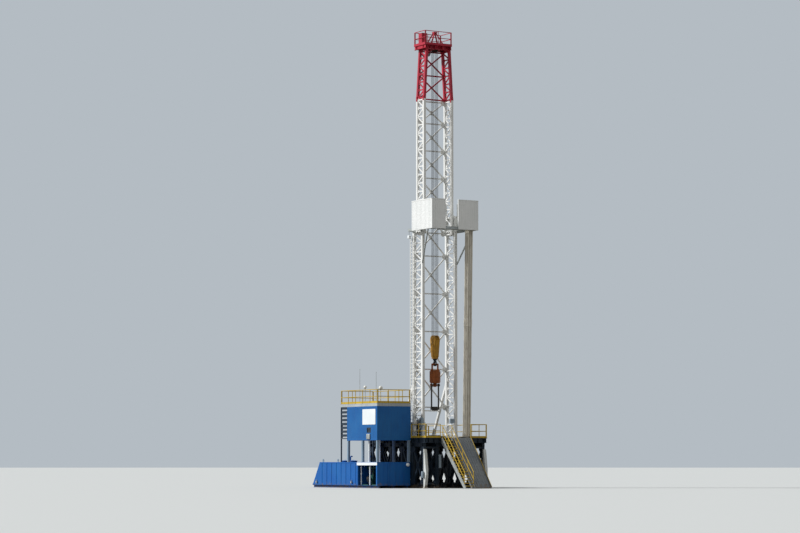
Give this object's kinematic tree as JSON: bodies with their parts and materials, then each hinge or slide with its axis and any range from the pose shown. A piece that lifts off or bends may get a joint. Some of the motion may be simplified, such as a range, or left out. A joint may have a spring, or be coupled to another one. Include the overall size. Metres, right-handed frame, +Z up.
{
  "type": "land drilling rig with telescoping lattice mast",
  "caption": "Land drilling rig: telescoping white and red lattice mast on a raised drill floor, with racking board, travelling block, doghouse, tank, stairs and ramp.",
  "frame": {"origin": "centre of the well at ground level, under the rotary table", "axes": "+X from the well towards the pipe ramp, +Y away from the doghouse, +Z up"},
  "size_m": [16.4, 8.94, 37.11],
  "materials": {
    "dark_steel": "satin",
    "white_steel": "satin",
    "red_steel": "satin",
    "windwall_sheet": "satin",
    "galvanised": "matte",
    "yellow_rail": "satin",
    "grey_deck": "matte",
    "pipe_steel": "matte",
    "dark_machine": "satin",
    "wire_rope": "matte",
    "yellow_block": "satin",
    "rust_orange": "matte",
    "blue_cabin": "satin",
    "pale_roof": "satin",
    "window_glass": "gloss",
    "dark_porch": "satin",
    "blue_tank": "satin"
  },
  "bodies": {
    "rig": {"substructure_near_box": "dark_steel", "substructure_far_box": "dark_steel", "substructure_spreaders": "dark_steel", "corner_jacks": "white_steel", "floor_beams": "dark_steel", "floor_deck": "grey_deck", "rotary_table": "dark_machine", "floor_railing": "yellow_rail", "stair_stringers": "grey_deck", "stair_treads": "grey_deck", "stair_railing": "yellow_rail", "pipe_ramp": "grey_deck", "mast_shoes": "white_steel", "mast_lower_near_leg": "white_steel", "mast_lower_far_leg": "white_steel", "mast_lower_back": "white_steel", "mast_rear_struts": "white_steel", "mast_ladder": "white_steel", "mast_upper_near_leg": "white_steel", "mast_upper_far_leg": "white_steel", "mast_upper_back": "white_steel", "mast_top_near_leg": "red_steel", "mast_top_far_leg": "red_steel", "mast_top_back": "red_steel", "racking_board": "galvanised", "racking_fingers": "galvanised", "windwall_near": "windwall_sheet", "windwall_far": "windwall_sheet", "windwall_front": "windwall_sheet", "drill_pipe_stands": "pipe_steel", "crown_platform": "red_steel", "crown_sheaves": "dark_machine", "crown_railing": "red_steel", "crown_box": "red_steel", "drill_lines": "wire_rope", "drawworks_frame": "dark_machine", "drawworks_drum": "dark_machine", "fast_line": "wire_rope", "doghouse_posts": "white_steel", "doghouse_floor": "blue_cabin", "doghouse_near_wall": "blue_cabin", "doghouse_far_wall": "blue_cabin", "doghouse_front_wall": "blue_cabin", "doghouse_rear_wall": "blue_cabin", "doghouse_roof": "pale_roof", "doghouse_roof_railing": "yellow_rail", "doghouse_doors": "blue_cabin", "doghouse_windows": "window_glass", "doghouse_porch": "dark_porch", "tank_skid": "blue_tank", "tank_near_side": "blue_tank", "tank_far_side": "blue_tank", "tank_end_plates": "blue_tank", "tank_deck": "blue_tank", "pump_bay_frame": "white_steel"},
    "travelling_gear": {"travelling_block": "yellow_block", "block_sheaves": "dark_machine", "hook": "dark_machine", "swivel": "rust_orange", "elevator_links": "dark_machine"}
  },
  "joints": [
    {"name": "block_travel", "type": "slide", "parent": "rig", "child": "travelling_gear", "axis": [0, 0, 1], "range_m": [-1.4, 20], "deforming": ["drill_lines"]}
  ]
}
